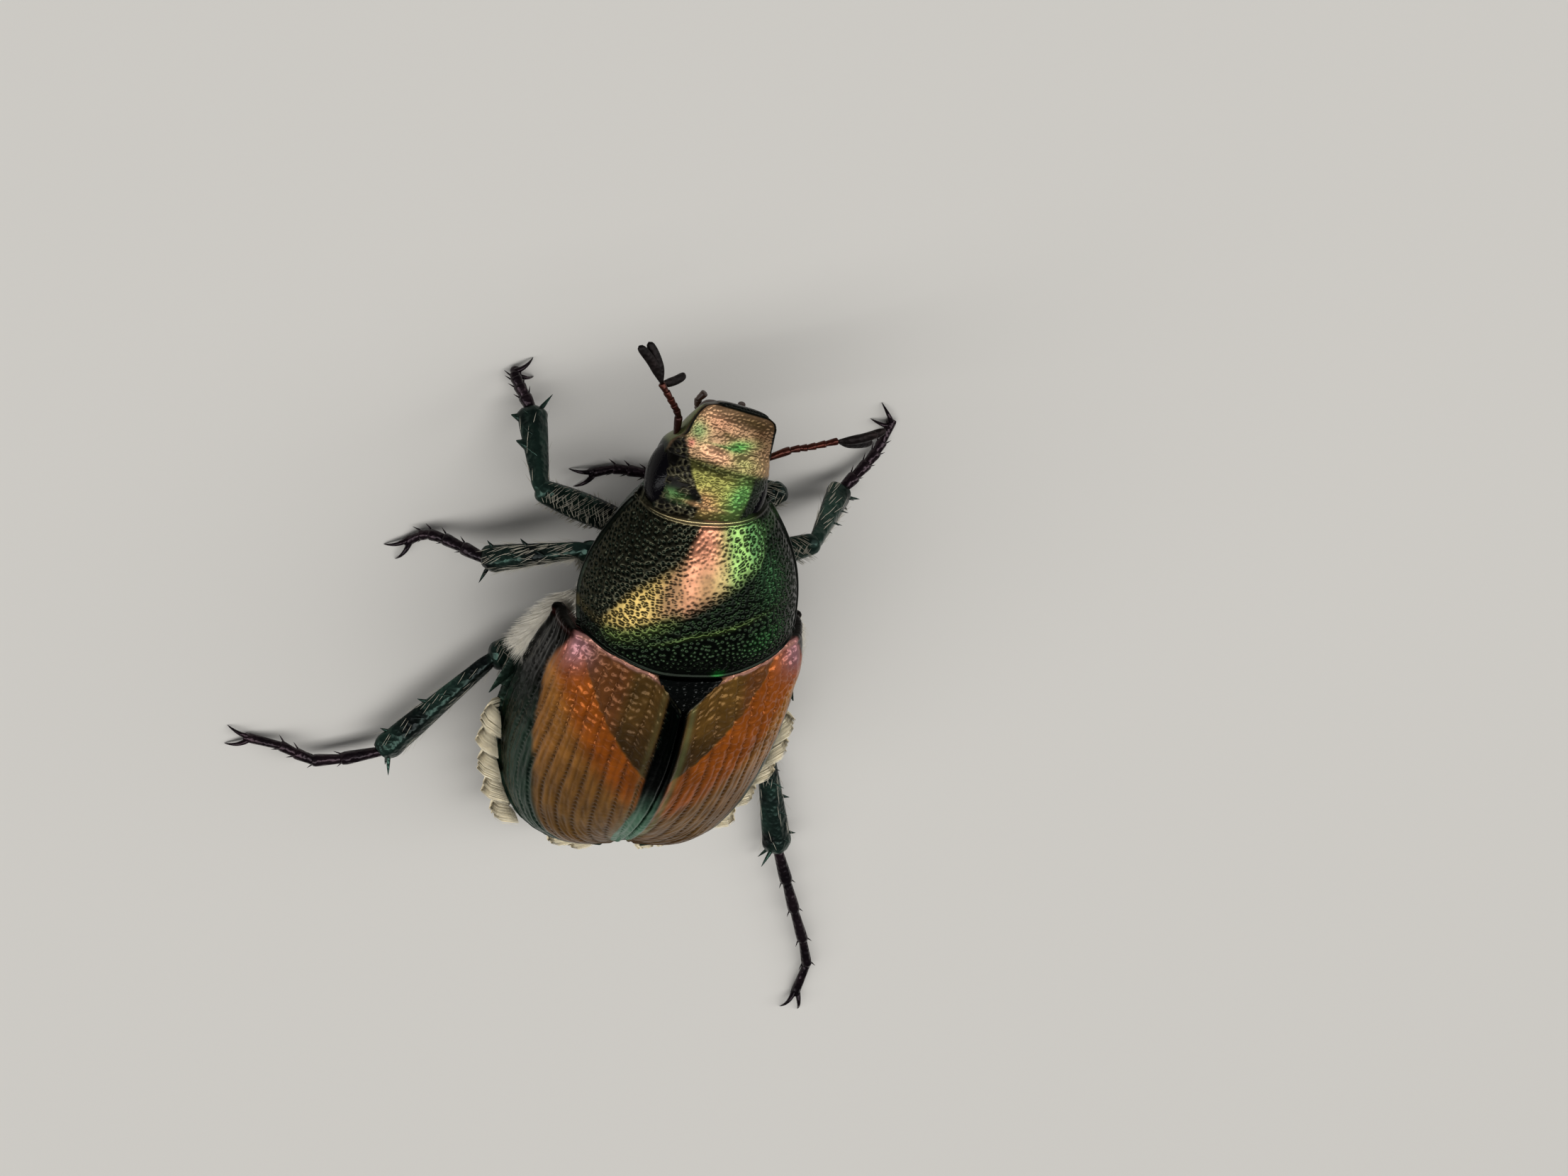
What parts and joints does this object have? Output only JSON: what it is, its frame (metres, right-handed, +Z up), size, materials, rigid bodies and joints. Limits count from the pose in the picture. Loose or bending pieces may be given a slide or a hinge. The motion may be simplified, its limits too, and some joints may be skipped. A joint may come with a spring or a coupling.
{
  "type": "japanese beetle model",
  "caption": "Life-size still model of a scarab beetle standing on its six feet, with ribbed wing cases, a domed shield and white side tufts.",
  "frame": {"origin": "middle of the bounding box on the floor", "axes": "+Y toward the tail, +X to the animal's left, +Z up from the floor"},
  "size_m": [0.0144, 0.018, 0.0054],
  "materials": {
    "green_cuticle": "metallic green, punctured, glossy",
    "dark_cuticle": "green-black, glossy",
    "wing_case": "glossy orange-brown with a copper sheen",
    "eye": "black, finely faceted",
    "mouth": "dark brown",
    "feeler": "red-brown stalk, blackish leaves",
    "hair": "white to cream hair"
  },
  "bodies": {
    "root": {"head": "green_cuticle", "pronotum": "green_cuticle", "pygidium": "green_cuticle", "scutellum": "dark_cuticle", "prothorax": "dark_cuticle", "thorax": "dark_cuticle", "abdomen": "dark_cuticle", "elytron_left": "wing_case", "elytron_right": "wing_case", "eye_left": "eye", "eye_right": "eye", "mouthparts": "mouth", "antenna_left": "feeler", "antenna_right": "feeler", "club_left": "feeler", "club_right": "feeler", "coxa_front_left": "dark_cuticle", "coxa_front_right": "dark_cuticle", "coxa_middle_left": "dark_cuticle", "coxa_middle_right": "dark_cuticle", "coxa_hind_left": "dark_cuticle", "coxa_hind_right": "dark_cuticle", "femur_front_left": "green_cuticle", "femur_front_right": "green_cuticle", "femur_middle_left": "green_cuticle", "femur_middle_right": "green_cuticle", "femur_hind_left": "green_cuticle", "femur_hind_right": "green_cuticle", "tibia_front_left": "green_cuticle", "tibia_front_right": "green_cuticle", "tibia_middle_left": "green_cuticle", "tibia_middle_right": "green_cuticle", "tibia_hind_left": "green_cuticle", "tibia_hind_right": "green_cuticle", "tarsus_front_left": "dark_cuticle", "tarsus_front_right": "dark_cuticle", "tarsus_middle_left": "dark_cuticle", "tarsus_middle_right": "dark_cuticle", "tarsus_hind_left": "dark_cuticle", "tarsus_hind_right": "dark_cuticle"}
  },
  "joints": []
}
